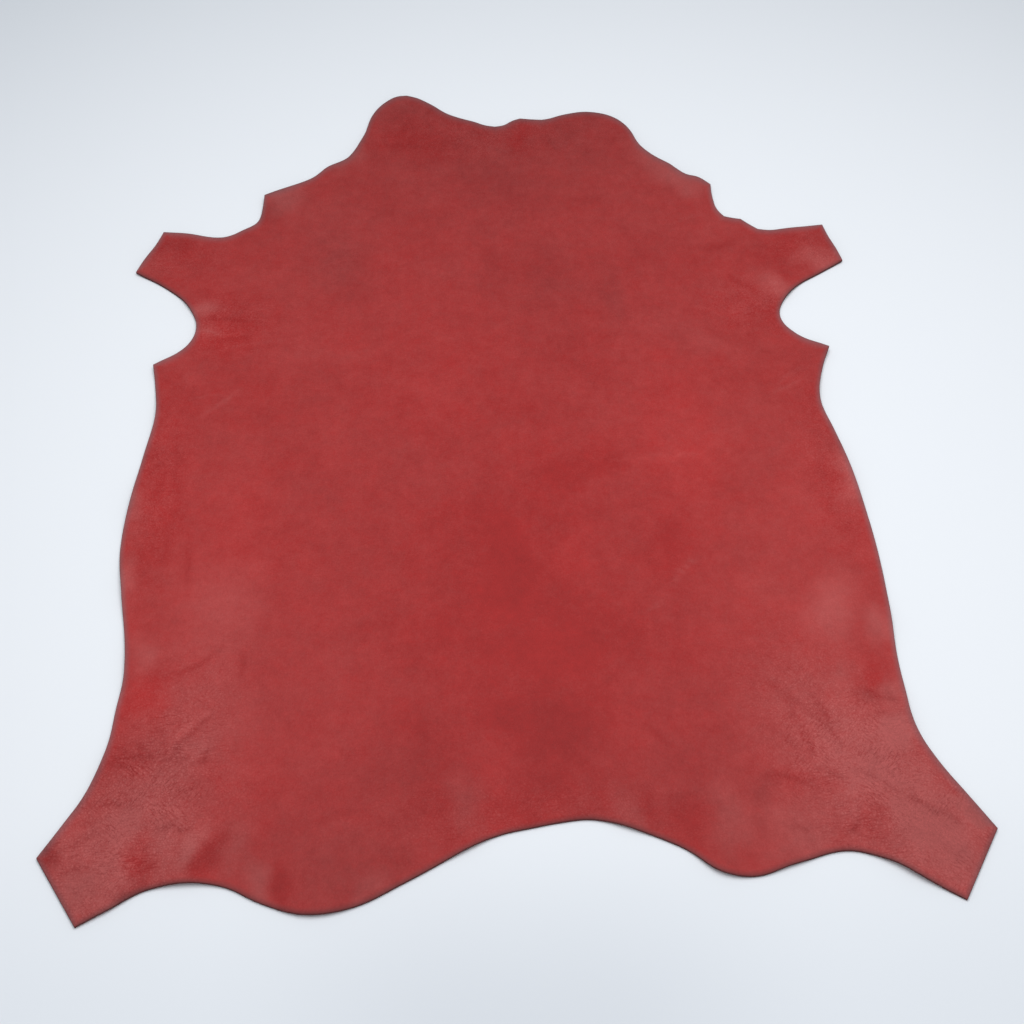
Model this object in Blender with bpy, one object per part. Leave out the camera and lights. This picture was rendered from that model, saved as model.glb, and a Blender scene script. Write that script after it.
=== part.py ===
"""A whole hide of pull-up leather, lying grain side up on a flat surface.

Units are metres, +Z is up and the neck points toward +Y. The origin is on the surface, under
the middle of the hide's bounding box. The hide is one sheet of even thickness. It touches the
surface over most of its area, and it lifts off in soft folds, mostly along its edge.
"""

from collections import namedtuple
from math import cos, pi, radians, sin

import bmesh
import bpy
import numpy as np
from mathutils import Vector
from mathutils.geometry import delaunay_2d_cdt, interpolate_bezier

# Driving dimensions

MM = 0.001                  # the two tables below are in millimetres
THICKNESS = 0.0024          # of the leather
OUTLINE_STEP = 0.011        # spacing of the points along the cut edge
EDGE_BAND = 0.085           # width of the band inside the edge that the folds reach over
FINE_STEP = 0.013           # spacing of the lattice points in that band
COARSE_STEP = 0.030         # spacing of the lattice points in the flat middle
CLEARANCE = 0.62            # least gap between lattice and edge points, as a share of the spacing
CURVE_REACH = 0.35          # length of a curve's handles, as a share of the gap it spans
CORNER_REACH = 1.0 / 3.0    # the same beside a corner, where the handle lies on the straight
CURVE_SAMPLES = 48          # points that measure one curve before it is cut into even steps
MERGE_DISTANCE = 0.000001   # points closer than this are one
SHARP_ANGLE = 50            # degrees between faces, above which an edge stays sharp

# Finish

LEATHER_COLOUR = (0.36, 0.042, 0.040, 1.0)
LEATHER_ROUGHNESS = 0.55
LEATHER_METALLIC = 0.0

# The cut outline, from the neck to the tail. Each row is one landmark on the left and the right
# side of the hide, as seen from above with the neck at the top. A corner is a sharp turn of the
# knife, and every other landmark is rounded. Places are measured from the middle of the back,
# and the finished hide is moved by the few millimetres that centre it on its bounds.

Landmark = namedtuple("Landmark", "name left_x left_y right_x right_y corner")
CUT, ROUND = True, False

NAPE = (9.5, 449.5)
TAIL = (12, -439.5)
LANDMARKS = (
    Landmark("nape_slope", -12, 461.5, 38, 466.5, ROUND),
    Landmark("nape_dip", -42, 477.5, 61.5, 458.5, ROUND),
    Landmark("cheek_inner", -66, 500, 88, 471.5, ROUND),
    Landmark("cheek_top", -88, 511.5, 117, 475, ROUND),
    Landmark("cheek_outer", -109.5, 500, 145, 458, ROUND),
    Landmark("cheek_side", -124, 483, 156.5, 443, ROUND),
    Landmark("neck", -136.5, 437, 167, 410.5, ROUND),
    Landmark("neck_foot", -153.5, 400.5, 179, 393.5, ROUND),
    Landmark("shoulder_slope", -173.5, 389.5, 196, 377, ROUND),
    Landmark("shoulder_bend", -189.5, 371.5, 211.5, 359, ROUND),
    Landmark("shoulder_rise", -211.5, 356, 227, 352.5, ROUND),
    Landmark("shoulder_point", -239.5, 341.5, 237.5, 343, CUT),
    Landmark("shoulder_side", -241, 321, 238, 317.5, ROUND),
    Landmark("nick", -245.5, 301.5, 246.5, 292.5, ROUND),
    Landmark("nick_lip", -259.5, 290, 263.5, 287.5, ROUND),
    Landmark("fore_leg_root", -278.5, 279.5, 279.5, 271, ROUND),
    Landmark("fore_leg_front", -320, 287, 317.5, 272, ROUND),
    Landmark("fore_shank_front", -342.5, 289.5, 348, 275, CUT),
    Landmark("fore_shank_end", -352, 259, 353.5, 245.5, ROUND),
    Landmark("fore_shank_back", -365.5, 227, 360.5, 218, CUT),
    Landmark("elbow", -337, 207, 337, 202.5, ROUND),
    Landmark("armpit_upper", -310.5, 178.5, 305.5, 179, ROUND),
    Landmark("armpit", -298, 140, 285.5, 140, ROUND),
    Landmark("armpit_lower", -309.5, 113, 301, 108.5, ROUND),
    Landmark("flank_point", -336, 91, 327.5, 91, CUT),
    Landmark("chest_side", -331.5, 61, 317.5, 65, ROUND),
    Landmark("waist", -328, 23.5, 308.5, 21, ROUND),
    Landmark("waist_low", -335, -26, 316, -17, ROUND),
    Landmark("belly_front", -340.5, -74, 323, -63.5, ROUND),
    Landmark("belly", -345.5, -141.5, 331, -133.5, ROUND),
    Landmark("belly_rear", -339, -192.5, 333, -196.5, ROUND),
    Landmark("flank_hollow", -328.5, -280, 330, -285, ROUND),
    Landmark("flank_low", -332, -313, 330.5, -316, ROUND),
    Landmark("thigh_upper", -336, -354.5, 332, -353.5, ROUND),
    Landmark("thigh", -347, -392.5, 345.5, -389.5, ROUND),
    Landmark("thigh_low", -363.5, -423, 364.5, -425, ROUND),
    Landmark("hind_shank_outer", -380.5, -452.5, 380.5, -454.5, CUT),
    Landmark("hind_shank_inner", -343.5, -514, 344, -516.5, CUT),
    Landmark("hock", -317, -499, 313.5, -497, ROUND),
    Landmark("hock_upper", -295.5, -485.5, 287, -479, ROUND),
    Landmark("hock_arch", -264.5, -480, 259, -470, ROUND),
    Landmark("buttock_rise", -232, -483.5, 217, -480, ROUND),
    Landmark("buttock_outer", -203, -498.5, 182, -490, ROUND),
    Landmark("buttock", -166.5, -510.5, 156.5, -485.5, ROUND),
    Landmark("buttock_inner", -131, -505, 131, -464, ROUND),
    Landmark("rump", -90, -484.5, 91.5, -444.5, ROUND),
    Landmark("tail_side", -48, -461, 58, -434, ROUND),
    Landmark("tail_root", -17, -446, 35, -435.5, ROUND),
)

# The main folds. Each one is a soft ridge about a crest at x, y, which runs along its heading,
# in degrees from +X toward +Y. It is as high as its height at the crest and falls to nothing at
# its half length and its half width. A crest on the cut edge leaves a fold that opens there.

Fold = namedtuple("Fold", "name x y heading half_length half_width height")
FOLDS = (
    Fold("hock_arch_left", -262, -484, 97, 92, 32, 3.2),
    Fold("hock_left", -322, -500, 60, 45, 26, 1.6),
    Fold("hock_arch_right", 304, -492, 76, 88, 38, 4.2),
    Fold("buttock_left", -160, -512, 95, 70, 34, 2.0),
    Fold("tail_left", -40, -459, 100, 74, 26, 2.2),
    Fold("tail_right", 86, -440, 92, 62, 24, 2.4),
    Fold("buttock_right", 156, -484, 84, 84, 28, 2.8),
    Fold("rump_right", 212, -480, 96, 60, 26, 1.8),
    Fold("thigh_left", -338, -372, 80, 48, 34, 3.0),
    Fold("flank_left", -330, -268, 88, 52, 30, 3.0),
    Fold("belly_left_rear", -346, -186, 90, 44, 32, 4.0),
    Fold("belly_left_front", -344, -84, 88, 52, 34, 4.0),
    Fold("waist_left", -330, 22, 80, 48, 30, 3.0),
    Fold("thigh_right", 330, -346, 60, 42, 32, 3.6),
    Fold("flank_hump_right", 282, -216, 80, 62, 30, 5.0),
    Fold("flank_edge_right", 334, -246, 95, 36, 26, 3.5),
    Fold("belly_right", 328, -70, 94, 64, 30, 4.5),
    Fold("waist_right", 309, 34, 86, 50, 28, 3.5),
    Fold("flank_point_left", -336, 92, 20, 52, 30, 2.6),
    Fold("flank_point_right", 326, 92, 150, 56, 32, 3.2),
    Fold("armpit_left_lower", -298, 140, 338, 48, 17, 2.0),
    Fold("armpit_left_upper", -302, 174, 352, 56, 18, 2.2),
    Fold("armpit_right", 293, 176, 128, 58, 24, 2.6),
    Fold("fore_shank_left", -360, 246, 12, 52, 30, 3.5),
    Fold("fore_shank_right", 360, 234, 160, 56, 26, 3.0),
    Fold("shoulder_left", -228, 352, 32, 56, 30, 4.5),
    Fold("shoulder_right", 210, 366, 138, 62, 26, 5.0),
    Fold("neck_left", -148, 416, 64, 56, 26, 3.5),
    Fold("neck_right", 168, 412, 110, 54, 24, 4.0),
    Fold("cheek_left", -106, 504, 118, 54, 30, 3.5),
    Fold("cheek_right", 144, 464, 74, 56, 28, 3.5),
    Fold("nape_left", 8, 458, 84, 62, 22, 3.0),
    Fold("nape_right", 64, 468, 92, 66, 24, 4.0),
)


def landmark_ring():
    """The landmarks in metres with their corner flags, clockwise from the nape."""
    right = [((row.right_x, row.right_y), row.corner) for row in LANDMARKS]
    left = [((row.left_x, row.left_y), row.corner) for row in reversed(LANDMARKS)]
    ring = [(NAPE, ROUND)] + right + [(TAIL, ROUND)] + left
    return [(Vector(place) * MM, corner) for place, corner in ring]


def run_direction(before, place, after):
    """The direction in which a rounded outline passes a landmark."""
    return ((place - before).normalized() + (after - place).normalized()).normalized()


def handle(place, neighbour, direction, corner):
    """The curve handle beside a landmark, on the side of its neighbour."""
    gap = neighbour - place
    if corner:
        return place + gap * CORNER_REACH
    return place + direction * gap.length * CURVE_REACH


def even_points(curve):
    """Points at even steps along a curve, with its start and without its end."""
    runs = [0.0]
    for start, end in zip(curve, curve[1:]):
        runs.append(runs[-1] + (end - start).length)
    steps = max(1, round(runs[-1] / OUTLINE_STEP))
    distances = [runs[-1] * step / steps for step in range(steps)]
    xs = np.interp(distances, runs, [point.x for point in curve])
    ys = np.interp(distances, runs, [point.y for point in curve])
    return list(zip(xs, ys))


def outline_points():
    """The cut edge as an array of points, clockwise from the nape."""
    ring = landmark_ring()
    count = len(ring)
    places = [place for place, corner in ring]
    directions = [
        run_direction(places[index - 1], places[index], places[(index + 1) % count])
        for index in range(count)
    ]
    points = []
    for index, (start, corner) in enumerate(ring):
        following = (index + 1) % count
        end, end_corner = ring[following]
        leaving = handle(start, end, directions[index], corner)
        arriving = handle(end, start, -directions[following], end_corner)
        points += even_points(interpolate_bezier(start, leaving, arriving, end, CURVE_SAMPLES))
    return np.array(points)


def lattice(outline, step):
    """A triangular lattice over the outline's bounds, with each point's distance to the edge."""
    low = outline.min(axis=0)
    high = outline.max(axis=0)
    row_height = step * sin(radians(60))
    rows = int((high[1] - low[1]) / row_height) + 1
    columns = int((high[0] - low[0]) / step) + 1
    points = np.array([
        (low[0] + step * (column + 0.5 * (row % 2)), low[1] + row_height * row)
        for row in range(rows)
        for column in range(columns)
    ])
    gaps = points[:, None, :] - outline[None, :, :]
    return points, np.hypot(gaps[:, :, 0], gaps[:, :, 1]).min(axis=1)


def inner_points(outline):
    """Lattice points inside and outside the outline: close together along it, apart elsewhere."""
    fine, fine_distance = lattice(outline, FINE_STEP)
    coarse, coarse_distance = lattice(outline, COARSE_STEP)
    near_edge = (fine_distance > CLEARANCE * FINE_STEP) & (fine_distance < EDGE_BAND)
    in_middle = coarse_distance > EDGE_BAND + CLEARANCE * FINE_STEP
    return np.vstack((fine[near_edge], coarse[in_middle]))


def lift(x, y):
    """The height of the hide's underside over the surface at a place."""
    height = 0.0
    for fold in FOLDS:
        heading = radians(fold.heading)
        from_x = x - fold.x * MM
        from_y = y - fold.y * MM
        along = (from_x * cos(heading) + from_y * sin(heading)) / (fold.half_length * MM)
        across = (from_y * cos(heading) - from_x * sin(heading)) / (fold.half_width * MM)
        if abs(along) < 1.0 and abs(across) < 1.0:
            height += fold.height * MM * (cos(along * pi / 2) * cos(across * pi / 2)) ** 2
    return height


def flat_layer(bm, outline):
    """One layer of triangles inside the outline, on the surface."""
    points = [Vector(point) for point in np.vstack((outline, inner_points(outline)))]
    count = len(outline)
    cut_edge = [(index, (index + 1) % count) for index in range(count)]
    only_inside = 1
    filled = delaunay_2d_cdt(points, cut_edge, [], only_inside, MERGE_DISTANCE)
    corners = [bm.verts.new((place.x, place.y, 0.0)) for place in filled[0]]
    for triangle in filled[2]:
        bm.faces.new([corners[index] for index in triangle])
    unused = [vert for vert in bm.verts if not vert.link_faces]
    bmesh.ops.delete(bm, geom=unused, context="VERTS")


def make_hide():
    """The hide as one closed sheet: the grain side, the flesh side and the cut edge."""
    bm = bmesh.new()
    outline = outline_points()
    flat_layer(bm, outline)
    grain_side = bmesh.ops.extrude_face_region(bm, geom=bm.faces[:])["geom"]
    grain_verts = [part for part in grain_side if isinstance(part, bmesh.types.BMVert)]
    bmesh.ops.translate(bm, verts=grain_verts, vec=(0.0, 0.0, THICKNESS))
    for vert in bm.verts:
        vert.co.z += lift(vert.co.x, vert.co.y)
    middle = (outline.min(axis=0) + outline.max(axis=0)) / 2
    bmesh.ops.translate(bm, verts=bm.verts, vec=(-middle[0], -middle[1], 0.0))
    bmesh.ops.recalc_face_normals(bm, faces=bm.faces)
    mesh = bpy.data.meshes.new("hide")
    bm.to_mesh(mesh)
    bm.free()
    mesh.shade_smooth()
    mesh.set_sharp_from_angle(angle=radians(SHARP_ANGLE))
    hide = bpy.data.objects.new("hide", mesh)
    bpy.context.scene.collection.objects.link(hide)
    hide.data.materials.append(leather_material())
    return hide


def leather_material():
    """Red leather, oiled and waxed, with a soft sheen."""
    material = bpy.data.materials.new("pull_up_leather")
    material.use_nodes = True
    shader = material.node_tree.nodes["Principled BSDF"]
    shader.inputs["Base Color"].default_value = LEATHER_COLOUR
    shader.inputs["Roughness"].default_value = LEATHER_ROUGHNESS
    shader.inputs["Metallic"].default_value = LEATHER_METALLIC
    return material


for old in list(bpy.data.objects):
    bpy.data.objects.remove(old, do_unlink=True)

make_hide()
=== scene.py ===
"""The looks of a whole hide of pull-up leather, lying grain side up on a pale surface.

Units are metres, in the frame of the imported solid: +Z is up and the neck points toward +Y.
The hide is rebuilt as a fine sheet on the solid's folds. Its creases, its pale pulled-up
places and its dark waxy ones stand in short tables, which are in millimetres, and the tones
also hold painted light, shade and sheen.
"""

from collections import namedtuple
from math import cos, pi, radians, sin

import bmesh
import bpy
import numpy as np
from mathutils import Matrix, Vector, noise
from mathutils.bvhtree import BVHTree
from mathutils.geometry import delaunay_2d_cdt
from mathutils.kdtree import KDTree


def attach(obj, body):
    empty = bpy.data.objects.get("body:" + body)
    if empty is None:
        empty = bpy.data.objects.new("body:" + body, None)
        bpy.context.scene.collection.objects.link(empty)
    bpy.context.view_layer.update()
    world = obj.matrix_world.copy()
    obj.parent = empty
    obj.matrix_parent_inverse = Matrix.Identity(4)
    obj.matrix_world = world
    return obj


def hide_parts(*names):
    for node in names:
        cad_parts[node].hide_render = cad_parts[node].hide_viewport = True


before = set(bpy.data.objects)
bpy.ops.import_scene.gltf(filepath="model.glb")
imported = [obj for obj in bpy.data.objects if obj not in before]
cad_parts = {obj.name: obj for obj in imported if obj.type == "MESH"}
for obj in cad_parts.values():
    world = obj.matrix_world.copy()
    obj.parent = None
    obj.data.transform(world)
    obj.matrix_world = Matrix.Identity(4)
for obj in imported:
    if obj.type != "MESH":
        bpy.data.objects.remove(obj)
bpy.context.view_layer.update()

# Sheet

MM = 0.001                   # the tables below are in millimetres
THICKNESS = 0.0024           # of the leather
WELD = 0.00001               # points of the solid closer than this are one
UPWARD = 0.5                 # least upward part of the normal of a face that looks up or down
EDGE_BAND = 0.085            # width of the band inside the edge that the folds reach over
FINE_STEP = 0.0152           # spacing of the lattice points in that band
COARSE_STEP = 0.030          # spacing of the lattice points in the flat middle
CREASE_BAND = 0.009          # width of the band on either side of a crease
DENSE_STEP = 0.0100          # spacing of the lattice points in that band
CLEARANCE = 0.62             # least gap between lattice and edge points, as a share of the spacing
BESIDE = 0.4                 # least strength of a crease, widened to its band, at a point beside it
REFINEMENT = 2               # levels of subdivision over the lattice
CORNER_TURN = 30             # degrees the cut edge turns by at a point that stays a sharp corner
EDGE_ROUNDING = 0.0004       # of the two arrises of the cut edge
EDGE_SEGMENTS = 2
ARRIS_TURN = 60              # least degrees between the two faces that meet at an arris
STROKE_PIECES = 12           # straight pieces that make up a bowed line
STROKE_REACH = 3             # half widths from a line at which it has faded away
# A crease's colour is partly its own deeper red and partly painted shade in its trough.
SHARP_CREASE = 3.0           # half width, in millimetres, over which a crease loses its tint
SPLINE_MIDDLE = 4 / 6        # subdivision moves a rim point to this share of its own place
SPLINE_SIDE = 1 / 6          # and this share of each neighbour's
WAVE_HEIGHT = 0.0007         # of the slight unevenness of a hide that lies under its own weight
WAVE_LENGTH = 0.11
DRIFT = 0.009                # most that a tone's rim strays
DRIFT_LENGTH = 0.022
DRIFT_LAYERS = (4.3, 9.7)    # of the noise, for the two directions of the drift
RIM_WIDTH = 0.0062           # of the worn rim along the cut edge, on the sides of the hide
RIM_WIDER_FAR = 0.0060       # what it gains where the edge faces the neck
RIM_FADE = 1.8               # power by which the wear fades inward

# Creases, as soft troughs in the grain side where depth is above zero, and as soft ridges where
# it is below. Each runs from start to end and bows to its left by bow at the middle. Along a
# crease the colour is also drawn deeper red and darker in troughs and paler on ridges, partly the
# leather's waxy colour and partly painted shade and light.

Crease = namedtuple("Crease", "name start_x start_y end_x end_y bow half_width depth")
CREASES = (
    Crease("flank_right_1", 206, -296, 267, -363, 4, 3.5, 0.35),
    Crease("flank_right_2", 250, -316, 263, -358, 3, 2.6, 0.44),
    Crease("flank_right_3", 231, -318, 241, -363, -2, 3.0, 0.35),
    Crease("flank_right_4", 212, -346, 243, -377, -3, 3.5, 0.35),
    Crease("flank_right_5", 238, -362, 246, -381, 2, 2.6, 0.40),
    Crease("flank_right_6", 264, -357, 268, -375, 1, 2.6, 0.40),
    Crease("groin_right_1", 199, -395, 244, -410, 4, 2.8, 0.46),
    Crease("groin_right_2", 249, -388, 265, -400, -1, 2.6, 0.40),
    Crease("groin_right_3", 268, -391, 306, -414, 3, 3.0, 0.45),
    Crease("groin_right_4", 304, -412, 344, -454, 5, 3.5, 0.40),
    Crease("groin_right_5", 268, -371, 305, -385, 3, 2.8, 0.35),
    Crease("thigh_right_1", 298, -315, 324, -328, -2, 2.8, 0.40),
    Crease("thigh_right_2", 301, -336, 316, -345, 1, 2.6, 0.40),
    Crease("thigh_right_3", 312, -314, 321, -331, 1, 2.6, 0.40),
    Crease("shank_right_1", 314, -421, 357, -451, 2, 2.8, 0.34),
    Crease("shank_right_2", 328, -458, 346, -486, 2, 4.0, 0.30),
    Crease("rump_right_1", 104, -340, 127, -366, 3, 4.0, 0.25),
    Crease("rump_right_2", 218, -442, 231, -451, 1, 2.6, 0.35),
    Crease("hock_right_1", 287, -420, 282, -470, 3, 7.0, 0.50),
    Crease("hock_right_2", 262, -456, 269, -444, 1, 2.6, 0.40),
    Crease("flank_left_1", -246, -248, -288, -280, 3, 3.0, 0.40),
    Crease("flank_left_2", -244, -312, -296, -386, -5, 3.5, 0.35),
    Crease("flank_left_3", -250, -314, -284, -347, -3, 3.0, -0.30),
    Crease("flank_left_4", -229, -254, -231, -286, 1, 3.0, 0.30),
    Crease("flank_left_5", -252, -349, -258, -369, 1, 2.6, 0.45),
    Crease("flank_left_6", -278, -362, -265, -364, 2, 2.4, 0.45),
    Crease("flank_left_7", -263, -365, -251, -367, 2, 2.4, 0.40),
    Crease("groin_left_1", -332, -360, -300, -358, -1, 2.6, 0.38),
    Crease("groin_left_2", -332, -366, -311, -371, 1, 2.6, 0.50),
    Crease("groin_left_3", -313, -345, -297, -361, 1, 2.6, 0.36),
    Crease("groin_left_4", -348, -404, -300, -408, 3, 3.0, 0.35),
    Crease("groin_left_5", -288, -431, -272, -423, 1, 2.6, 0.50),
    Crease("groin_left_6", -274, -432, -259, -429, 1, 2.6, 0.45),
    Crease("shank_left_1", -362, -469, -336, -459, 2, 3.0, 0.30),
    Crease("shank_left_2", -352, -440, -328, -428, 2, 3.0, 0.30),
    Crease("hock_left_1", -300, -436, -297, -478, 2, 7.0, 0.60),
    Crease("hock_left_2", -234, -432, -254, -474, -3, 8.0, 0.60),
    Crease("belly_left_1", -302, -20, -308, -170, 5, 5.0, 0.30),
    Crease("belly_left_2", -285, -138, -284, -194, 2, 3.5, 0.30),
    Crease("belly_left_3", -311, -42, -320, -92, -2, 3.5, 0.35),
    Crease("belly_right_1", 300, -30, 303, -130, -4, 5.0, 0.25),
    Crease("buttock_left_1", -166, -428, -116, -415, 4, 4.5, 0.30),
    Crease("rump_left_1", -81, -318, -79, -392, 3, 6.0, 0.20),
    Crease("rump_left_2", -132, -206, -125, -252, 2, 5.0, 0.20),
    Crease("armpit_left_1", -292, 158, -238, 150, 4, 3.5, 0.40),
    Crease("armpit_left_2", -284, 128, -236, 136, -3, 3.5, 0.30),
    Crease("armpit_right_1", 280, 172, 238, 206, 4, 4.0, 0.30),
    Crease("fore_leg_right_1", 216, 244, 262, 262, -5, 5.0, 0.35),
    Crease("nape_1", 36, 466, 35, 406, 2, 7.0, 0.30),
    Crease("cheek_left_1", -112, 424, -40, 414, 6, 6.0, 0.20),
    Crease("tail_left_1", -60, -408, -58, -460, 3, 6.0, 0.35),
    Crease("tail_right_1", 108, -406, 112, -450, -3, 6.0, 0.35),
    Crease("buttock_right_1", 132, -406, 130, -466, 4, 7.0, 0.40),
)

# Tones, each a soft oval that runs along its heading, in degrees from +X toward +Y. Shade is
# how much lighter (above zero) or darker (below) it is, partly the leather's own tone and partly
# painted light and shade. The last column is how pale and greyish it is, partly the bloom of the
# pulled-up wax and partly painted sheen, and below zero it is a deep red, waxy place.

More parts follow.
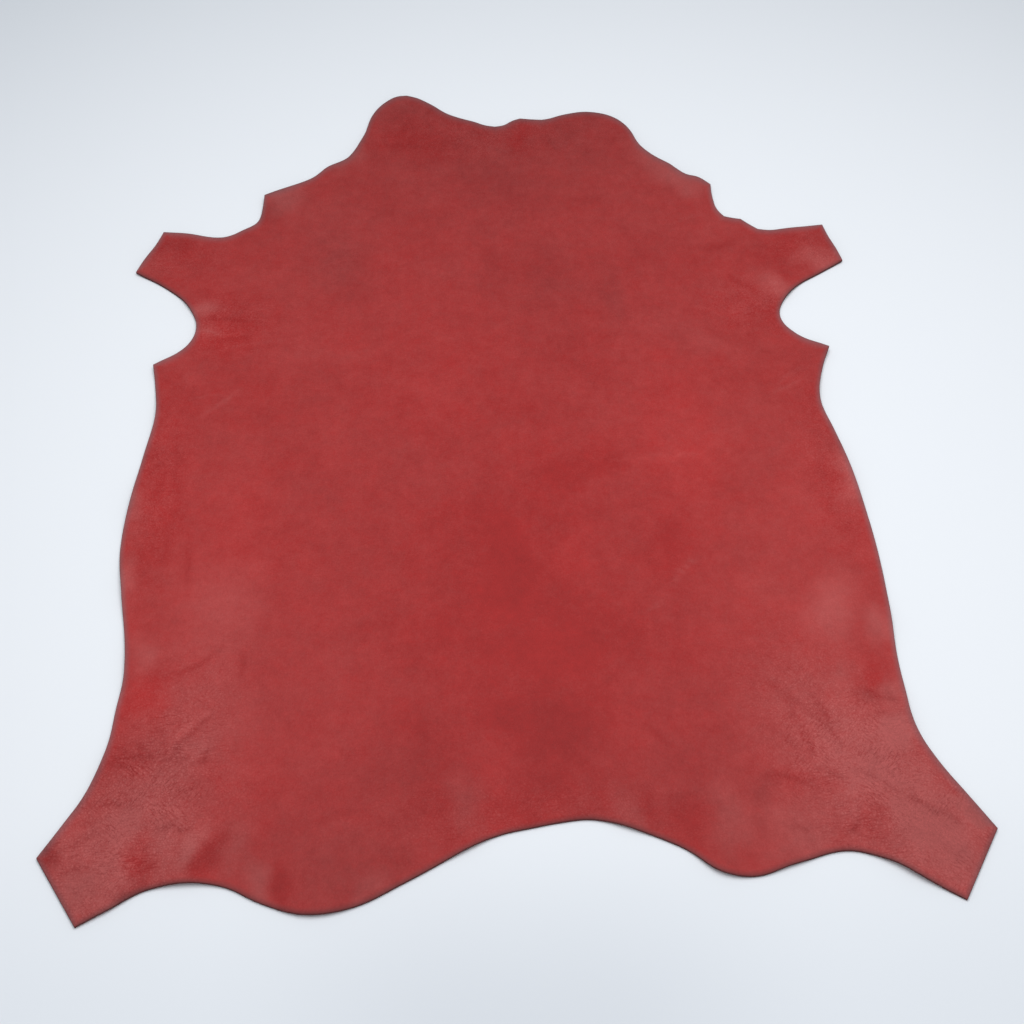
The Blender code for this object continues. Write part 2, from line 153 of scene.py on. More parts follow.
Tone = namedtuple("Tone", "name x y heading half_length half_width shade bloom")
TONES = (
    # fore_end and neck are darker and greyer toward the neck end: painted shade where the light falls
    # off, with painted sheen.
    Tone("fore_end", 0, 560, 0, 700, 480, -0.17, 0.10),
    # side_left and side_right are lighter and paler: a painted sheen on the flanks, stronger on the
    # right.
    Tone("side_left", -300, -150, 90, 300, 110, 0.06, 0.06),
    Tone("side_right", 290, -190, 92, 330, 130, 0.09, 0.11),
    Tone("middle", 10, -240, 90, 280, 190, -0.01, -0.30),
    # Painted shade and sheen toward the neck end, together with fore_end.
    Tone("neck", 0, 500, 0, 330, 230, -0.07, 0.10),
    Tone("cheek_left", -85, 440, 0, 70, 60, 0.06, -0.30),
    Tone("cheek_right", 130, 440, 0, 50, 45, 0.01, -0.02),
    Tone("nape_hollow", 36, 438, 90, 48, 24, 0.10, -0.34),
    Tone("neck_edge_left", -150, 408, 60, 50, 22, -0.10, 0.60),
    Tone("shoulder_left", -222, 342, 20, 46, 34, -0.12, 0.75),
    Tone("shoulder_left_hollow", -238, 318, 90, 26, 22, -0.14, -0.10),
    Tone("neck_edge_right", 172, 400, 120, 46, 24, 0.00, 0.43),
    Tone("shoulder_right", 206, 358, 140, 60, 30, -0.02, 0.80),
    Tone("fore_leg_left_front", -330, 268, 0, 34, 28, -0.12, -0.08),
    Tone("fore_leg_left_tip", -352, 240, 120, 34, 22, -0.03, 0.27),
    Tone("armpit_left_upper", -296, 172, 20, 34, 20, -0.01, 0.88),
    Tone("armpit_left_lower", -290, 140, 150, 32, 16, 0.00, 0.48),
    Tone("armpit_left_hollow", -266, 128, 10, 58, 40, 0.10, -0.13),
    Tone("armpit_right", 292, 180, 130, 50, 26, 0.07, 0.78),
    Tone("fore_leg_right_tip", 338, 222, 150, 44, 30, 0.05, 0.80),
    Tone("fore_leg_right_hollow", 238, 252, 30, 44, 24, -0.02, -0.04),
    Tone("flank_point_left", -312, 100, 10, 46, 16, 0.01, 0.06),
    Tone("chest_right", 210, 110, 150, 90, 34, -0.01, 0.20),
    Tone("chest_left", -180, 102, 0, 90, 20, -0.01, 0.14),
    Tone("shoulder_pale_left", -170, 302, 20, 110, 66, -0.03, 0.16),
    Tone("shoulder_pale_right", 192, 285, 150, 110, 76, 0.00, 0.09),
    Tone("fore_leg_left_inner", -296, 236, 70, 60, 40, -0.05, 0.00),
    Tone("armpit_right_inner", 250, 166, 40, 60, 40, 0.08, 0.20),
    Tone("back", 15, 0, 90, 180, 150, 0.00, -0.09),
    Tone("shoulder_hollow_left", -156, 230, 100, 84, 62, -0.13, 0.19),
    Tone("wither_hollow", 62, 200, 90, 95, 82, -0.12, 0.03),
    Tone("nape_dark", 18, 350, 90, 84, 76, -0.07, 0.02),
    Tone("wither_side", -2, 222, 92, 84, 26, -0.10, 0.00),
    Tone("wither_low", 56, 104, 90, 66, 50, -0.06, -0.03),
    Tone("wither_streak", 118, 175, 90, 96, 24, -0.14, 0.12),
    Tone("back_left", -60, 70, 90, 130, 80, 0.05, -0.05),
    Tone("back_right", 168, -20, 92, 165, 76, 0.16, -0.12),
    Tone("back_right_hollow", 75, -55, 20, 80, 42, -0.02, -0.26),
    Tone("back_streak", 152, -44, 3, 62, 10, 0.05, 0.06),
    Tone("belly_left", -232, -110, 95, 130, 60, 0.10, -0.07),
    Tone("belly_left_edge", -302, -90, 92, 90, 26, 0.04, -0.04),
    Tone("belly_left_hollow", -318, -148, 90, 34, 24, -0.01, -0.14),
    Tone("belly_left_rim", -340, -176, 90, 46, 16, 0.03, 0.76),
    Tone("belly_front_rim", -338, -84, 90, 26, 14, -0.11, 0.90),
    Tone("belly_right", 286, -110, 92, 100, 50, 0.03, -0.02),
    Tone("belly_right_rim", 320, -74, 92, 56, 20, 0.06, 0.80),
    Tone("spine_hollow", 2, -172, 92, 78, 28, -0.05, -0.37),
    Tone("spine_light", 62, -152, 88, 70, 26, 0.10, -0.02),
    Tone("loin_hollow", 42, -262, 10, 52, 34, -0.01, -0.44),
    Tone("loin_low_hollow", -8, -332, 0, 36, 26, -0.09, -0.28),
    Tone("loin_right_hollow", 150, -150, 60, 60, 44, -0.01, -0.24),
    Tone("croup", 40, -360, 90, 95, 70, -0.13, -0.16),
    Tone("croup_left", -70, -370, 90, 80, 60, -0.13, -0.05),
    Tone("rump_left", -140, -470, 20, 120, 90, -0.17, 0.06),
    Tone("croup_left_side", -128, -388, 30, 80, 48, -0.06, 0.00),
    Tone("croup_right_side", 158, -372, 80, 60, 42, -0.05, -0.02),
    Tone("flank_right_front", 190, -236, 90, 76, 52, 0.05, 0.00),
    Tone("rump_right", 130, -400, 80, 90, 60, -0.09, 0.00),
    Tone("tail_light_left", -42, -414, 100, 52, 24, -0.09, 0.46),
    Tone("tail_light_middle", 58, -416, 92, 46, 18, -0.04, 0.18),
    Tone("tail_light_right", 88, -426, 90, 40, 20, -0.06, 0.46),
    Tone("buttock_right_hollow", 134, -440, 100, 44, 26, -0.01, -0.19),
    Tone("buttock_right_light", 170, -438, 84, 60, 28, -0.11, 0.56),
    # The hind legs' paleness is partly the pulled-up wax and partly painted sheen.
    Tone("hind_left", -322, -452, 50, 150, 92, -0.05, 1.24),
    Tone("thigh_left", -273, -340, 62, 120, 66, 0.00, 0.53),
    Tone("flank_left", -252, -228, 84, 112, 62, 0.06, 0.37),
    Tone("thigh_left_hollow", -311, -353, 8, 34, 19, -0.07, -0.09),
    Tone("thigh_left_red", -308, -301, 60, 42, 32, 0.16, -0.27),
    Tone("thigh_left_deep", -312, -325, 80, 26, 20, 0.02, 0.05),
    Tone("thigh_left_light", -267, -356, 50, 42, 20, -0.02, 0.32),
    Tone("hind_left_light", -317, -415, 50, 38, 24, -0.01, 0.23),
    Tone("shank_left_light", -343, -474, 35, 38, 22, -0.03, 0.26),
    Tone("thigh_left_rim", -313, -258, 90, 34, 22, 0.00, 0.58),
    # Around the hocks the pale crests and the darker, deep red hollows beside them also paint the light
    # and shade of the folds.
    Tone("hock_left_light", -262, -447, 66, 38, 14, -0.04, 0.80),
    Tone("hock_left_hollow", -299, -454, 92, 48, 18, 0.05, -0.76),
    Tone("hock_left_hollow_2", -244, -452, 62, 44, 19, -0.07, -0.47),
    Tone("hock_left_rim", -308, -484, 22, 22, 11, -0.22, -0.26),
    Tone("shank_left_hollow", -374, -450, 60, 18, 15, -0.22, -0.60),
    Tone("buttock_left_light", -207, -480, 98, 34, 18, -0.08, 0.73),
    Tone("buttock_left_side", -226, -446, 70, 44, 26, -0.07, 0.54),
    Tone("buttock_left_streak", -188, -484, 104, 32, 11, -0.10, -0.33),
    Tone("buttock_left_rim", -118, -486, 60, 34, 12, 0.00, 0.45),
    # As on the left, partly pulled-up wax and partly painted sheen.
    Tone("hind_right", 322, -446, 130, 150, 100, 0.00, 1.36),
    Tone("thigh_right", 262, -350, 118, 130, 92, 0.03, 0.76),
    # flank_right_hump is pale on the raised hump: pulled-up wax and a painted highlight.
    Tone("flank_right_hump", 284, -226, 78, 66, 34, 0.02, 0.62),
    Tone("flank_right_rim", 322, -246, 100, 30, 20, -0.03, 0.70),
    Tone("flank_right_hollow", 284, -282, 30, 48, 26, 0.04, 0.03),
    Tone("thigh_right_hollow", 305, -300, 90, 40, 25, 0.01, -0.36),
    Tone("thigh_right_deep", 299, -323, 80, 18, 14, -0.17, -0.02),
    Tone("thigh_right_light", 319, -318, 70, 24, 17, -0.07, 0.80),
    Tone("thigh_right_light_2", 276, -296, 60, 24, 16, -0.09, 0.17),
    Tone("thigh_right_rim", 318, -354, 62, 40, 24, -0.05, 0.95),
    # These hollows and crests also paint the light and shade of the folds at the hock.
    Tone("hock_right_hollow", 284, -438, 84, 42, 19, 0.03, -0.60),
    Tone("hock_right_deep", 270, -446, 60, 18, 10, -0.09, -0.20),
    Tone("buttock_right", 222, -450, 90, 60, 44, -0.08, 0.72),
    Tone("buttock_right_deep", 198, -414, 100, 26, 19, -0.16, 0.12),
    Tone("buttock_right_deep_2", 192, -440, 95, 20, 12, -0.09, 0.10),
    Tone("shank_right_hollow", 350, -478, 120, 26, 16, -0.08, 0.08),
    Tone("shank_right_light", 334, -456, 140, 36, 22, 0.01, 0.71),
    Tone("shank_right_rim", 364, -438, 135, 30, 12, -0.12, 1.06),
)

# Old healed scratches, paler than the leather round them

Scratch = namedtuple("Scratch", "name start_x start_y end_x end_y bow half_width strength")
SCRATCHES = (
    Scratch("loin_scratch", 143, -200, 176, -160, 3, 2.2, 0.45),
    Scratch("loin_scratch_low", 112, -232, 142, -202, -3, 2.0, 0.22),
    Scratch("flank_scratch", -288, 22, -246, 64, -2, 2.6, 0.32),
    Scratch("chest_scratch", -292, 106, -204, 126, 4, 2.2, 0.20),
    Scratch("chest_scratch_low", -300, 46, -262, 52, 2, 1.8, 0.20),
    Scratch("back_scratch", 96, -48, 190, -42, 3, 2.4, 0.22),
    Scratch("waist_scratch", 262, 34, 304, 58, -2, 1.8, 0.30),
    Scratch("waist_scratch_low", 270, 46, 300, 70, 2, 1.6, 0.22),
    Scratch("armpit_scratch", -292, 142, -270, 132, 1, 1.8, 0.45),
    Scratch("neck_scratch", 188, 282, 230, 300, 3, 2.0, 0.18),
)

# Places where the grain is loose and wrinkled, in the same form as the tones

Wrinkle = namedtuple("Wrinkle", "name x y heading half_length half_width strength")
WRINKLES = (
    Wrinkle("hind_leg_left", -316, -440, 50, 170, 120, 1.0),
    Wrinkle("flank_left", -284, -330, 65, 140, 76, 0.6),
    Wrinkle("hind_leg_right", 312, -430, 130, 180, 130, 1.0),
    Wrinkle("flank_right", 256, -330, 115, 140, 96, 0.6),
    Wrinkle("belly_left", -320, -60, 90, 200, 50, 0.5),
    Wrinkle("belly_right", 308, -60, 92, 200, 50, 0.5),
    Wrinkle("armpit_left", -270, 150, 0, 80, 70, 0.6),
    Wrinkle("armpit_right", 260, 160, 0, 80, 70, 0.6),
    Wrinkle("fore_leg_left", -330, 250, 0, 80, 60, 0.5),
    Wrinkle("fore_leg_right", 330, 240, 0, 80, 60, 0.5),
    Wrinkle("neck", 0, 440, 0, 220, 80, 0.5),
    Wrinkle("tail", 20, -430, 0, 200, 60, 0.5),
)

# Grain, with sizes in metres

FULL_BLOOM = 1.5             # the bloom at which the leather is as pale as it gets
USUAL_BLOOM = 0.32           # of the leather where no tone changes it
USUAL_SHADE = 0.985          # of the leather where no tone changes it
WAX_PATCH = (0.066, 0.066, 0.066)
WAX_START = (2.0, 1.0, 0.5)  # keeps the wax's pattern apart from the dye's
STREAK = (0.014, 0.045, 1.0)
PEBBLES = 400.0              # along a metre
FINE_PEBBLES = 800.0
PEBBLE_SLOPE = (0.0, 0.42)   # gaps to its wall between which a pebble rises to its full height
PEBBLE_DRIFT = 0.0022        # most that the pebbles are pushed out of line
SLANTED_RIPPLE = (0.0056, 0.0017)
LEVEL_RIPPLE = (0.0074, 0.0017)
RIPPLE_SLOPE = (0.34, 0.56)  # noise between which a ripple rises out of its trough
RIPPLES_LEFT = 50.0          # headings of the ripples, in degrees from +X
RIPPLES_RIGHT = -44.0
RIPPLES_LEVEL = 4.0
GRAIN_RELIEF = 0.0004        # depth of the bump
# Where the edge faces the tail the worn rim is drawn darker and less grey: painted shade where the edge
# faces away from the overhead light.
NEAR_RIM_REDDER = 0.7        # share of its grey that the worn rim loses where it faces the tail
NEAR_RIM_PAINTED_SHADE = 0.56       # share of its light that it loses there

# Flesh side and cut edge

NAP = (0.0024, 0.0077, 1.0)
NAP_HEADING = 20.0
NAP_RELIEF = 0.0004
FIBRE = (0.002, 0.002, 0.00045)
FIBRE_RELIEF = 0.0003

# Colours, as linear red, green and blue

DEEP_RED = (0.330, 0.0155, 0.0150)
PALE_RED = (0.393, 0.0800, 0.0755)
EDGE_DARK = (0.060, 0.0120, 0.0130)
EDGE_LIGHT = (0.150, 0.0400, 0.0380)
RIM_RED = (0.240, 0.0920, 0.0970)
FLESH_DARK = (0.210, 0.0620, 0.0520)
FLESH_LIGHT = (0.360, 0.1400, 0.1150)
# The floor's colours paint its light: brightest in the middle, with painted shade toward the far end
# and near the camera, lighter to the sides there.
FLOOR_MIDDLE = (0.806, 0.832, 0.870)
FLOOR_FAR = (0.600, 0.640, 0.690)
FLOOR_NEAR = (0.660, 0.692, 0.738)
FLOOR_NEAR_SIDES = (0.730, 0.763, 0.808)
SKY = (0.930, 0.965, 1.000)

# Camera, at the photograph's height and angle, and lights

CAMERA_PLACE = (-0.0350, -1.2005, 1.2837)
CAMERA_TILT = 40.5           # degrees from straight down
CAMERA_TURN = -2.2           # degrees about the vertical
CAMERA_LENS = 65             # millimetres, on a frame 36 mm wide
SOFTBOX_PLACE = (0.06, 0.00, 1.60)
SOFTBOX_SIZE = (1.5, 1.5)
SOFTBOX_POWER = 21.6
FILL_PLACE = (0.0, -2.4, 1.1)
FILL_SIZE = (2.4, 1.4)
FILL_POWER = 9
SKY_STRENGTH = 0.43
FLOOR_WIDTH = 8.0
FLOOR_DROP = 0.0002          # keeps the floor's face off the flesh side's
FLOOR_BRIGHTEST = (0.15, -0.20, 0.0)
FLOOR_REACH = 1.4            # from there to where the floor has its far colour
NEAR_BAND = (-0.36, -0.62)   # along Y, where the floor turns into its near colour
SIDE_BAND = (0.04, 0.26)     # off the middle, where the near colour grows lighter


class Signal:
    """A number inside a material. Python arithmetic on it adds Math nodes."""

    def __init__(self, finish, socket):
        self.finish = finish
        self.socket = socket

    def step(self, operation, first, second=0.0):
        """Add one Math node."""
        return self.finish.signal("ShaderNodeMath", {"operation": operation}, {0: first, 1: second})

    def __add__(self, other):
        return self.step("ADD", self, other)

    def __radd__(self, other):
        return self.step("ADD", other, self)

    def __sub__(self, other):
        return self.step("SUBTRACT", self, other)

    def __rsub__(self, other):
        return self.step("SUBTRACT", other, self)

    def __mul__(self, other):
        return self.step("MULTIPLY", self, other)

    def __rmul__(self, other):
        return self.step("MULTIPLY", other, self)

    def __truediv__(self, other):
        return self.step("DIVIDE", self, other)

    def __pow__(self, other):
        return self.step("POWER", self, other)

    def size(self):
        """The number without its sign."""
        return self.step("ABSOLUTE", self)

    def between(self, low, high):
        """The number held between two limits."""
        return self.step("MINIMUM", self.step("MAXIMUM", self, low), high)

    def rise(self, start, end):
        """A soft step from 0 at start to 1 at end."""
        settings = {"interpolation_type": "SMOOTHSTEP"}
        return self.finish.signal("ShaderNodeMapRange", settings, {0: self, 1: start, 2: end}, "Result")


class Finish:
    """A material, built from plain calls that add its nodes."""

    def __init__(self, name):
        self.material = bpy.data.materials.new(name)
        self.material.use_nodes = True
        self.tree = self.material.node_tree
        self.shader = self.tree.nodes["Principled BSDF"]

    def feed(self, socket, value):
        """Link a node's output to a socket, or set the socket's own value."""
        if isinstance(value, Signal):
            value = value.socket
        if isinstance(value, bpy.types.NodeSocket):
            self.tree.links.new(value, socket)
        elif socket.type == "RGBA":
            socket.default_value = (*value, 1.0)
        else:
            socket.default_value = value

    def node(self, kind, settings=None, values=None):
        """Add a node: its settings first, then the values or links of its sockets."""
        node = self.tree.nodes.new(kind)
        for name, value in (settings or {}).items():
            setattr(node, name, value)
        for name, value in (values or {}).items():
            self.feed(node.inputs[name], value)
        return node

    def signal(self, kind, settings, values, output="Value"):
        """Add a node and take one of its outputs as a number."""
        return Signal(self, self.node(kind, settings, values).outputs[output])

    def attribute(self, name):
        """A number that the mesh carries at each point."""
        return self.signal("ShaderNodeAttribute", {"attribute_name": name}, {}, "Fac")

    def place(self):
        """The place on the piece, in metres."""
        return self.node("ShaderNodeTexCoord").outputs["Object"]

    def mapped(self, size, turn=0.0, start=(0.0, 0.0, 0.0)):
        """The place counted in sizes from a start, along axes turned about the vertical."""
        values = {
            "Vector": self.place(),
            "Location": start,
            "Rotation": (0.0, 0.0, radians(turn)),
            "Scale": size,
        }
        return self.node("ShaderNodeMapping", {"vector_type": "TEXTURE"}, values).outputs["Vector"]

    def cloud(self, place, scale, detail=3.0, roughness=0.5, distortion=0.0):
        """Soft noise between 0 and 1, about 0.5."""
        values = {
            "Vector": place,
            "Scale": scale,
            "Detail": detail,
            "Roughness": roughness,
            "Distortion": distortion,
        }
        return self.signal("ShaderNodeTexNoise", {}, values, "Fac")

    def cells(self, place, scale):
        """The distance to the nearest wall between cells, as on pebbled grain."""
        settings = {"feature": "DISTANCE_TO_EDGE"}
        values = {"Vector": place, "Scale": scale}
        return self.signal("ShaderNodeTexVoronoi", settings, values, "Distance")

    def ripples(self, length, width, turn):
        """Short ripples that run along a heading: 1, with thin troughs that fall to 0."""
        place = self.mapped((length, width, 1.0), turn)
        ridges = self.cloud(place, scale=1.0, detail=3.0, roughness=0.6, distortion=0.6)
        return ridges.rise(*RIPPLE_SLOPE)

    def mix(self, share, first, second):
        """One colour turned into another by a share from 0 to 1."""
        # The colour sockets are given by number, since other sockets have the same names.
        node = self.node("ShaderNodeMix", {"data_type": "RGBA"}, {0: share, 6: first, 7: second})
        return node.outputs[2]

    def vector(self, operation, first, second):
        """Arithmetic on two vectors."""
        node = self.node("ShaderNodeVectorMath", {"operation": operation}, {0: first, 1: second})
        return node.outputs["Vector"]

    def scaled(self, colour, amount):
        """A colour or a vector times a number."""
        node = self.node("ShaderNodeVectorMath", {"operation": "SCALE"}, {0: colour, "Scale": amount})
        return node.outputs["Vector"]

    def warped(self, place, scale, amount):
        """The place pushed about by noise, so that a pattern on it isn't regular."""
        values = {"Vector": place, "Scale": scale, "Detail": 2.0}
        drift = self.node("ShaderNodeTexNoise", {}, values).outputs["Color"]
        centred = self.vector("SUBTRACT", drift, (0.5, 0.5, 0.5))
        return self.vector("ADD", place, self.scaled(centred, amount))

    def relief(self, height, depth):
        """Bump the surface by a height that counts in depths."""
        bump = self.node("ShaderNodeBump", {}, {"Distance": depth, "Height": height})
        self.surface({"Normal": bump.outputs["Normal"]})

    def surface(self, values):
        """Feed sockets of the shader by their names."""
        for name, value in values.items():
            self.feed(self.shader.inputs[name], value)


def oval(x, y, row):
    """A table row's soft oval over arrays of places: 1 at its middle and 0 from its rim on."""
    heading = radians(row.heading)
    from_x = x - row.x * MM
    from_y = y - row.y * MM
    along = (from_x * cos(heading) + from_y * sin(heading)) / (row.half_length * MM)
    across = (from_y * cos(heading) - from_x * sin(heading)) / (row.half_width * MM)
    reach = np.clip(np.hypot(along, across), 0.0, 1.0)
    return np.cos(reach * pi / 2) ** 2


def stroke(x, y, row):
    """A table row's bowed line over arrays of places: 1 along it, fading to its sides and ends."""
    start = np.array((row.start_x, row.start_y)) * MM
    end = np.array((row.end_x, row.end_y)) * MM
    run = end - start
    left = np.array((-run[1], run[0])) / np.hypot(*run)
    strength = np.zeros(len(x))
    reach = STROKE_REACH * row.half_width * MM
    low = np.minimum(start, end) - reach - abs(row.bow) * MM
    high = np.maximum(start, end) + reach + abs(row.bow) * MM
    near = (x > low[0]) & (x < high[0]) & (y > low[1]) & (y < high[1])
    places = np.stack((x[near], y[near]), axis=1)
    shares = np.linspace(0.0, 1.0, STROKE_PIECES + 1)
    line = start + run * shares[:, None] + left * (row.bow * MM * np.sin(pi * shares))[:, None]
    gap = np.full(len(places), reach)
    share = np.zeros(len(places))
    for index in range(STROKE_PIECES):
        step = line[index + 1] - line[index]
        along = np.clip(((places - line[index]) @ step) / (step @ step), 0.0, 1.0)
        apart = np.linalg.norm(places - line[index] - along[:, None] * step, axis=1)
        closer = apart < gap
        gap[closer] = apart[closer]
        share[closer] = (index + along[closer]) / STROKE_PIECES
    ends = np.sin(pi * np.clip(share, 0.0, 1.0)) ** 0.5
    strength[near] = np.exp(-(gap / (row.half_width * MM)) ** 2) * ends
    return strength


def put(name, data):
    """A new object in the scene."""
    thing = bpy.data.objects.new(name, data)
    bpy.context.scene.collection.objects.link(thing)
    return thing


def mesh_from(bm, name):
    """A new mesh with the shape of a bmesh, which is freed."""
    mesh = bpy.data.meshes.new(name)
    bm.to_mesh(mesh)
    bm.free()
    return mesh


def open_grain_side(solid):
    """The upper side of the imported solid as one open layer."""
    bm = bmesh.new()
    bm.from_mesh(solid.data)
    bmesh.ops.remove_doubles(bm, verts=bm.verts, dist=WELD)
    bm.normal_update()
    rest = [face for face in bm.faces if face.normal.z < UPWARD]
    bmesh.ops.delete(bm, geom=rest, context="FACES")
    return bm


def cut_edge(bm):
    """The places along the open layer's rim, in order round the hide."""
    first = next(edge for edge in bm.edges if edge.is_boundary)
    places = [first.verts[0].co.to_2d()]
    edge = first
    vert = first.verts[1]
    while vert != first.verts[0]:
        places.append(vert.co.to_2d())
        edge = next(other for other in vert.link_edges if other.is_boundary and other != edge)
        vert = edge.other_vert(vert)
    return np.array(places)


def lattice(outline, step):
    """A triangular lattice over the outline's bounds, with each point's distance to the edge."""
    low = outline.min(axis=0)
    high = outline.max(axis=0)
    row_height = step * sin(radians(60))
    rows = int((high[1] - low[1]) / row_height) + 1
    columns = int((high[0] - low[0]) / step) + 1
    points = np.array([
        (low[0] + step * (column + 0.5 * (row % 2)), low[1] + row_height * row)
        for row in range(rows)
        for column in range(columns)
    ])
    gaps = points[:, None, :] - outline[None, :, :]
    return points, np.hypot(gaps[:, :, 0], gaps[:, :, 1]).min(axis=1)


def by_crease(points):
    """Which of the points lie on a crease or close beside one."""
    wide = [row._replace(half_width=CREASE_BAND / MM) for row in CREASES]
    return np.max([stroke(points[:, 0], points[:, 1], row) for row in wide], axis=0) > BESIDE


def inner_points(outline):
    """Lattice points: densest by the creases, fine along the outline and coarse in the middle."""
    dense, dense_distance = lattice(outline, DENSE_STEP)
    fine, fine_distance = lattice(outline, FINE_STEP)
    coarse, coarse_distance = lattice(outline, COARSE_STEP)
    creased = (dense_distance > CLEARANCE * DENSE_STEP) & by_crease(dense)
    near_edge = (fine_distance > CLEARANCE * FINE_STEP) & (fine_distance < EDGE_BAND) & ~by_crease(fine)
    in_middle = (coarse_distance > EDGE_BAND + CLEARANCE * FINE_STEP) & ~by_crease(coarse)
    return np.vstack((dense[creased], fine[near_edge], coarse[in_middle]))


def turns(outline):
    """How far the outline turns at each of its points, in degrees."""
    before = outline - np.roll(outline, 1, axis=0)
    after = np.roll(outline, -1, axis=0) - outline
    cross = before[:, 0] * after[:, 1] - before[:, 1] * after[:, 0]
    return np.degrees(np.arctan2(np.abs(cross), (before * after).sum(axis=1)))


def rim_controls(outline, corner):
    """Where the rim's points must stand for the subdivided rim to pass through the outline."""
    count = len(outline)
    weights = np.zeros((count, count))
    for index in range(count):
        if corner[index]:
            # A sharp corner stays where it is.
            weights[index, index] = 1.0
        else:
            weights[index, index] = SPLINE_MIDDLE
            weights[index, index - 1] = SPLINE_SIDE
            weights[index, (index + 1) % count] = SPLINE_SIDE
    return np.linalg.solve(weights, outline)


def height_over(tree, x, y):
    """The height of the solid's grain side at a place, or that of its nearest point at the rim."""
    high_above = 1.0
    hit = tree.ray_cast(Vector((x, y, high_above)), Vector((0.0, 0.0, -1.0)))[0]
    if hit is None:
        hit = tree.find_nearest(Vector((x, y, THICKNESS)))[0]
    return hit.z


def flesh_layer(solid):
    """The underside as one even layer of triangles on the solid's folds."""
    grain = open_grain_side(solid)
    outline = cut_edge(grain)
    corner = turns(outline) > CORNER_TURN
    tree = BVHTree.FromBMesh(grain)
    places = np.vstack((rim_controls(outline, corner), inner_points(outline)))
    points = [Vector(place) for place in places]
    count = len(outline)
    rim = [(index, (index + 1) % count) for index in range(count)]
    only_inside = 1
    filled = delaunay_2d_cdt(points, rim, [], only_inside, WELD)
    grain.free()
    bm = bmesh.new()
    keeps_corner = bm.verts.layers.float.new("crease_vert")
    verts = [bm.verts.new((spot.x, spot.y, height_over(tree, *spot) - THICKNESS)) for spot in filled[0]]
    for triangle in filled[2]:
        bm.faces.new([verts[index] for index in triangle])
    for index in np.flatnonzero(corner):
        verts[index][keeps_corner] = 1.0
    unused = [vert for vert in bm.verts if not vert.link_faces]
    bmesh.ops.delete(bm, geom=unused, context="VERTS")
    return bm


def refined(bm, name):
    """The layer smoothed by subdivision, as a new bmesh in place of the given one."""
    mesh = mesh_from(bm, name)
    piece = put(name, mesh)
    smoothing = piece.modifiers.new("refine", "SUBSURF")
    smoothing.levels = REFINEMENT
    smoothing.render_levels = REFINEMENT
    seen = piece.evaluated_get(bpy.context.evaluated_depsgraph_get())
    fine = bmesh.new()
    fine.from_mesh(seen.to_mesh())
    seen.to_mesh_clear()
    bpy.data.objects.remove(piece, do_unlink=True)
    bpy.data.meshes.remove(mesh)
    return fine


def columns_of(verts):
    """The x and y of a run of points, as two arrays."""
    places = np.array([vert.co[:2] for vert in verts])
    return places[:, 0], places[:, 1]


def waves(x, y):
    """The slight unevenness of the whole hide, at or over its lowest level."""
    heights = np.array([
        noise.noise(Vector((along / WAVE_LENGTH, across / WAVE_LENGTH, 0.0)))
        for along, across in zip(x, y)
    ])
    return WAVE_HEIGHT * np.clip(heights, 0.0, 1.0)


def make_sheet(solid):
    """The hide as a closed sheet with a flesh side, a grain side with its creases, and a cut edge."""
    bm = refined(flesh_layer(solid), "flesh_layer")
    for face in bm.faces:
        face.material_index = FLESH
    x, y = columns_of(bm.verts)
    for vert, rise in zip(bm.verts, waves(x, y)):
        vert.co.z = max(vert.co.z, 0.0) + rise
    grown = bmesh.ops.extrude_face_region(bm, geom=bm.faces[:])["geom"]
    grain_faces = {part for part in grown if isinstance(part, bmesh.types.BMFace)}
    grain_verts = [part for part in grown if isinstance(part, bmesh.types.BMVert)]
    bmesh.ops.translate(bm, verts=grain_verts, vec=(0.0, 0.0, THICKNESS))
    x, y = columns_of(grain_verts)
    troughs = sum(row.depth * MM * stroke(x, y, row) for row in CREASES)
    for vert, depth in zip(grain_verts, troughs):
        vert.co.z -= depth
    for face in grain_faces:
        face.material_index = GRAIN
    bm.normal_update()
    for edge in bm.edges:
        beyond = [face for face in edge.link_faces if face not in grain_faces]
        if len(beyond) == 1:
            beyond[0].material_index = CUT
    bmesh.ops.recalc_face_normals(bm, faces=bm.faces)
    arrises = [edge for edge in bm.edges if edge.calc_face_angle(0.0) > radians(ARRIS_TURN)]
    bmesh.ops.bevel(
        bm, geom=arrises, offset=EDGE_ROUNDING, offset_type="OFFSET", segments=EDGE_SEGMENTS,
        profile=0.5, affect="EDGES", material=-1,
    )
    mesh = mesh_from(bm, "leather_hide")
    mesh.shade_smooth()
    return put("leather_hide", mesh)


def give_points(mesh, name, values):
    """Store one number for each point of a mesh, for its material to read."""
    attribute = mesh.attributes.new(name, "FLOAT", "POINT")
    attribute.data.foreach_set("value", np.asarray(values, dtype=np.float32))


def middle_of(mesh, face):
    """A face's middle, which is the same whichever of its corners comes first."""
    corners = [mesh.vertices[index].co for index in face.vertices]
    return tuple(sum(corner[axis] for corner in corners) / len(corners) for axis in range(3))


def nearest_cut(mesh):
    """Each point's distance to the cut edge, and how far that edge faces the neck, from -1 to 1."""
    # In a fixed order, since faces over each other are equally near
    cut = sorted(
        (middle_of(mesh, face), tuple(face.normal))
        for face in mesh.polygons
        if face.material_index == CUT and abs(face.normal.z) < UPWARD
    )
    tree = KDTree(len(cut))
    for index, (middle, normal) in enumerate(cut):
        tree.insert((middle[0], middle[1], 0.0), index)
    tree.balance()
    gaps = []
    facings = []
    for vert in mesh.vertices:
        place = vert.co.to_2d()
        middle, normal = cut[tree.find(place.to_3d())[1]]
        outward = Vector(normal).to_2d().normalized()
        away = Vector(middle).to_2d() - place
        gaps.append(min(abs(away.dot(outward)), away.length))
        facings.append(outward.y)
    return gaps, facings


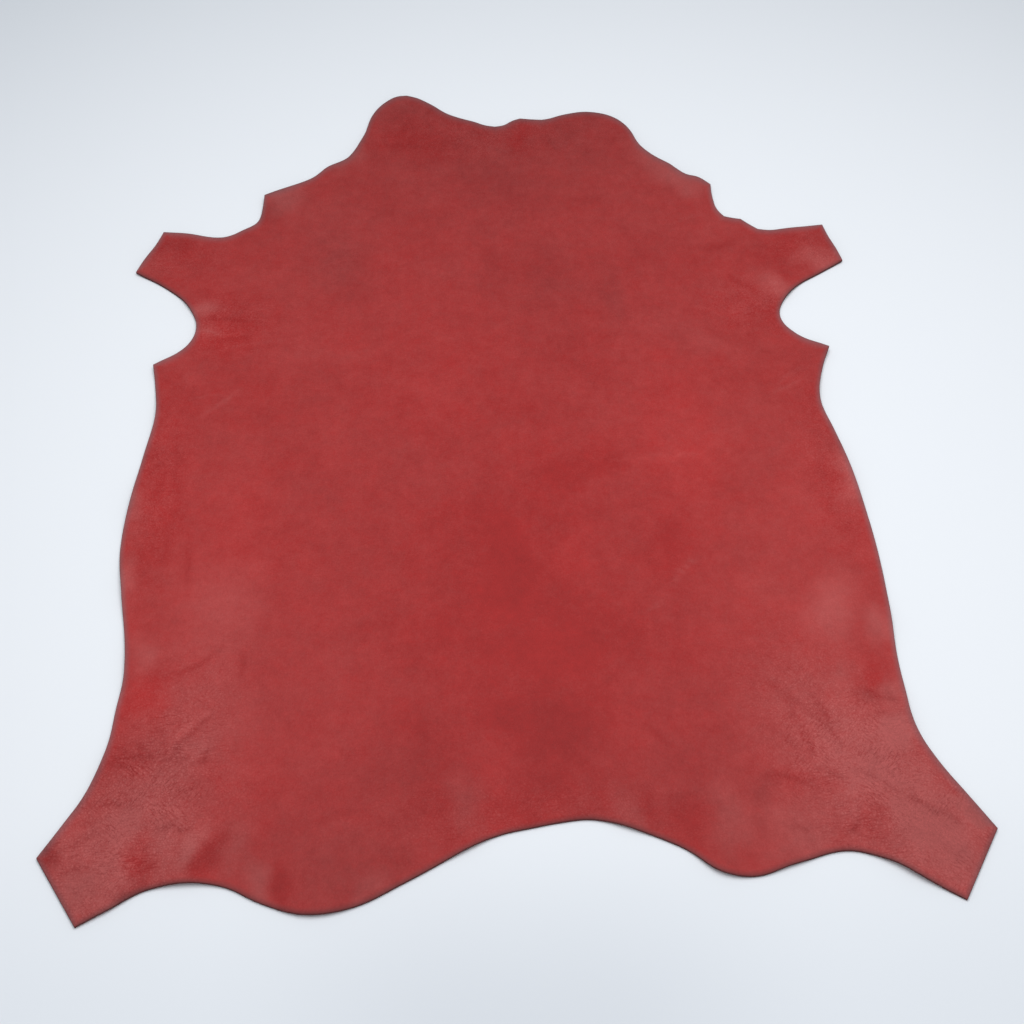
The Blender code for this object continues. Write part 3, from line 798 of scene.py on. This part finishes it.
def drifted(x, y):
    """The places pushed about a little, so that the tones on them have irregular rims."""
    places = [(along / DRIFT_LENGTH, across / DRIFT_LENGTH) for along, across in zip(x, y)]
    drift = np.array([
        [noise.noise(Vector((*place, layer))) for layer in DRIFT_LAYERS]
        for place in places
    ])
    return x + DRIFT * drift[:, 0], y + DRIFT * drift[:, 1]


def crease_tint_and_shade(crease):
    """How strongly a crease colours the leather, partly its waxy colour and partly painted shade: by
    its depth, and less where it is wide.
    """
    return crease.depth * min(1.0, SHARP_CREASE / crease.half_width)


def mark_tones(mesh):
    """Work out how light, how pale, how wrinkled and how near the edge each point is."""
    x, y = columns_of(mesh.vertices)
    tone_x, tone_y = drifted(x, y)
    shade = sum(row.shade * oval(tone_x, tone_y, row) for row in TONES)
    bloom = sum(row.bloom * oval(tone_x, tone_y, row) for row in TONES)
    scratch = sum(row.strength * stroke(x, y, row) for row in SCRATCHES)
    # Creases are drawn deeper red, their waxy colour, and darker, a painted shade in the trough.
    crease = sum(crease_tint_and_shade(row) * stroke(x, y, row) for row in CREASES)
    wrinkle = np.clip(sum(row.strength * oval(x, y, row) for row in WRINKLES), 0.0, 1.0)
    give_points(mesh, "shade", shade)
    give_points(mesh, "bloom", bloom)
    give_points(mesh, "scratch", scratch)
    give_points(mesh, "crease", crease)
    give_points(mesh, "wrinkle", wrinkle)
    gaps, facings = nearest_cut(mesh)
    give_points(mesh, "edge_gap", gaps)
    give_points(mesh, "facing", facings)


def grain_finish():
    """The waxed grain side: mottled red, paler where it was pulled up, with pebbles and wrinkles, and
    with painted light, shade and sheen from its tones, creases and rim.
    """
    finish = Finish("pull_up_grain")
    place = finish.place()
    wrinkle = finish.attribute("wrinkle")
    crease = finish.attribute("crease")
    dye = finish.cloud(place, scale=15.0, detail=6.0, roughness=0.95)
    wax_place = finish.mapped(WAX_PATCH, start=WAX_START)
    wax = finish.cloud(wax_place, scale=1.0, detail=6.0, roughness=0.95)
    mottle = finish.cloud(place, scale=130.0, detail=3.0, roughness=0.6)
    streaks = finish.cloud(finish.mapped(STREAK), scale=1.0, detail=4.0, roughness=0.8)
    speckle = finish.cloud(place, scale=620.0, detail=2.0, roughness=0.6)
    clumps = finish.cloud(place, scale=42.0, detail=2.0).rise(0.38, 0.62)
    leaning = finish.cloud(place, scale=27.0, detail=1.0).rise(0.44, 0.56)
    level = finish.cloud(place, scale=19.0, detail=1.0).rise(0.46, 0.60)

    pebble_place = finish.warped(place, scale=160.0, amount=PEBBLE_DRIFT)
    pebbles = finish.cells(pebble_place, PEBBLES).rise(*PEBBLE_SLOPE)
    fine_pebbles = finish.cells(pebble_place, FINE_PEBBLES).rise(*PEBBLE_SLOPE)
    leftward = finish.ripples(*SLANTED_RIPPLE, RIPPLES_LEFT)
    rightward = finish.ripples(*SLANTED_RIPPLE, RIPPLES_RIGHT)
    across = finish.ripples(*LEVEL_RIPPLE, RIPPLES_LEVEL)
    slanted = leftward + (rightward - leftward) * leaning
    lines = (slanted + (across - slanted) * level - 0.6) * wrinkle * (clumps * 0.6 + 0.7)

    # Each pattern is weighed by how much it shows on smooth leather and how much more where it
    # is wrinkled, and counts from its own usual value.
    # The paleness mixes the bloom of pulled-up wax with the painted sheen of the tones.
    bloom = (
        finish.attribute("bloom")
        + finish.attribute("scratch")
        + (wax - 0.5) * (wrinkle * 0.8 + 1.1)
        + (streaks - 0.5) * (wrinkle * 0.30 + 0.20)
        + (pebbles - 0.6) * (wrinkle * 0.50 + 0.06)
        + (speckle - 0.5) * (wrinkle * 0.70 + 0.35)
        + lines * 0.42
        - crease * 0.62
        + USUAL_BLOOM
    )
    shade = (
        finish.attribute("shade")
        + (dye - 0.5) * 0.62
        + (streaks - 0.5) * 0.10
        + (pebbles - 0.6) * (wrinkle * 0.09 + 0.02)
        + (speckle - 0.5) * (wrinkle * 0.12 + 0.12)
        + lines * 0.09
        # creases darker: painted shade in their troughs
        - crease * 0.26
        + USUAL_SHADE
    )
    facing = finish.attribute("facing")
    rim_width = RIM_WIDTH + RIM_WIDER_FAR * facing.between(0.0, 1.0)
    rim = (1.0 - finish.attribute("edge_gap") / rim_width).between(0.0, 1.0) ** RIM_FADE
    # Where the edge faces the tail, the rim is drawn redder and darker: painted shade where the edge
    # faces away from the overhead light.
    near = (0.0 - facing).between(0.0, 1.0)
    red = finish.mix((bloom / FULL_BLOOM).between(0.0, 1.0), DEEP_RED, PALE_RED)
    red = finish.mix(rim * (1.0 - near * NEAR_RIM_REDDER), red, RIM_RED)
    red = finish.scaled(red, shade * (1.0 - rim * near * NEAR_RIM_PAINTED_SHADE))
    roughness = 0.56 + (mottle - 0.5) * 0.12 + bloom.between(0.0, 1.0) * 0.08
    finish.surface({"Base Color": red, "Roughness": roughness, "Specular IOR Level": 0.20})

    height = pebbles * (wrinkle * 0.4 + 0.25) + fine_pebbles * 0.2 + speckle * 0.15 + lines * 0.45
    finish.relief(height, GRAIN_RELIEF)
    return finish.material


def flesh_finish():
    """The suede-like flesh side: dull, paler than the grain and slightly fibrous."""
    finish = Finish("flesh_side")
    clouds = finish.cloud(finish.place(), scale=18.0, detail=4.0, roughness=0.6)
    nap_place = finish.mapped(NAP, NAP_HEADING)
    nap = finish.cloud(nap_place, scale=1.0, detail=3.0, roughness=0.65, distortion=0.8)
    share = (clouds * 0.6 + nap * 0.5 - 0.05).between(0.0, 1.0)
    red = finish.mix(share, FLESH_DARK, FLESH_LIGHT)
    finish.surface({"Base Color": red, "Roughness": 0.95, "Specular IOR Level": 0.1})
    finish.relief(nap, NAP_RELIEF)
    return finish.material


def cut_finish():
    """The cut edge: dark, with the fibres of the leather's middle showing."""
    finish = Finish("cut_edge")
    fibres = finish.cloud(finish.mapped(FIBRE), scale=1.0, detail=3.0, roughness=0.7)
    red = finish.mix(fibres.rise(0.3, 0.75), EDGE_DARK, EDGE_LIGHT)
    finish.surface({"Base Color": red, "Roughness": 0.85, "Specular IOR Level": 0.2})
    finish.relief(fibres, FIBRE_RELIEF)
    return finish.material


def make_floor():
    """A pale surface whose colour paints its light: brightest under the middle of the hide, with
    painted shade toward the far end and near the camera, lighter to the sides there.
    """
    bm = bmesh.new()
    bmesh.ops.create_grid(bm, x_segments=1, y_segments=1, size=FLOOR_WIDTH / 2)
    bmesh.ops.translate(bm, verts=bm.verts, vec=(0.0, 0.0, -FLOOR_DROP))
    mesh = mesh_from(bm, "floor")
    floor = put("floor", mesh)
    finish = Finish("pale_floor")
    centred = finish.mapped((1.0, 1.0, 1.0), start=FLOOR_BRIGHTEST)
    reach = finish.signal("ShaderNodeVectorMath", {"operation": "LENGTH"}, {0: centred})
    share = (reach / FLOOR_REACH).between(0.0, 1.0) ** 3.0
    place = finish.node("ShaderNodeSeparateXYZ", {}, {"Vector": finish.place()})
    along = Signal(finish, place.outputs["Y"])
    across = Signal(finish, place.outputs["X"])
    painted_falloff_colour = finish.mix(share, FLOOR_MIDDLE, FLOOR_FAR)
    near_painted_shade_colour = finish.mix(across.size().rise(*SIDE_BAND), FLOOR_NEAR, FLOOR_NEAR_SIDES)
    colour = finish.mix(along.rise(*NEAR_BAND), painted_falloff_colour, near_painted_shade_colour)
    finish.surface({"Base Color": colour, "Roughness": 0.8, "Specular IOR Level": 0.1})
    mesh.materials.append(finish.material)


def make_camera():
    """The camera, over the tail end, looking down along the back."""
    lens = bpy.data.cameras.new("camera")
    lens.lens = CAMERA_LENS
    camera = put("camera", lens)
    camera.location = CAMERA_PLACE
    camera.rotation_euler = (radians(CAMERA_TILT), 0.0, radians(CAMERA_TURN))
    bpy.context.scene.camera = camera


def add_softbox(name, place, size, power):
    """A soft rectangular light that faces the middle of the hide."""
    light = bpy.data.lights.new(name, "AREA")
    light.shape = "RECTANGLE"
    light.size, light.size_y = size
    light.energy = power
    softbox = put(name, light)
    softbox.location = place
    softbox.rotation_euler = Vector(place).to_track_quat("Z", "Y").to_euler()


def make_lights():
    """A large softbox overhead, a weak one from the front and an even sky."""
    add_softbox("overhead", SOFTBOX_PLACE, SOFTBOX_SIZE, SOFTBOX_POWER)
    add_softbox("fill", FILL_PLACE, FILL_SIZE, FILL_POWER)
    world = bpy.data.worlds.new("studio")
    world.use_nodes = True
    background = world.node_tree.nodes["Background"]
    background.inputs["Color"].default_value = (*SKY, 1.0)
    background.inputs["Strength"].default_value = SKY_STRENGTH
    bpy.context.scene.world = world
    bpy.context.scene.view_settings.view_transform = "Standard"


GRAIN, CUT, FLESH = range(3)

hide = make_sheet(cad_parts["hide"])
for finish_of_side in (grain_finish, cut_finish, flesh_finish):
    hide.data.materials.append(finish_of_side())
mark_tones(hide.data)
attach(hide, "root")
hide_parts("hide")

make_floor()
make_camera()
make_lights()
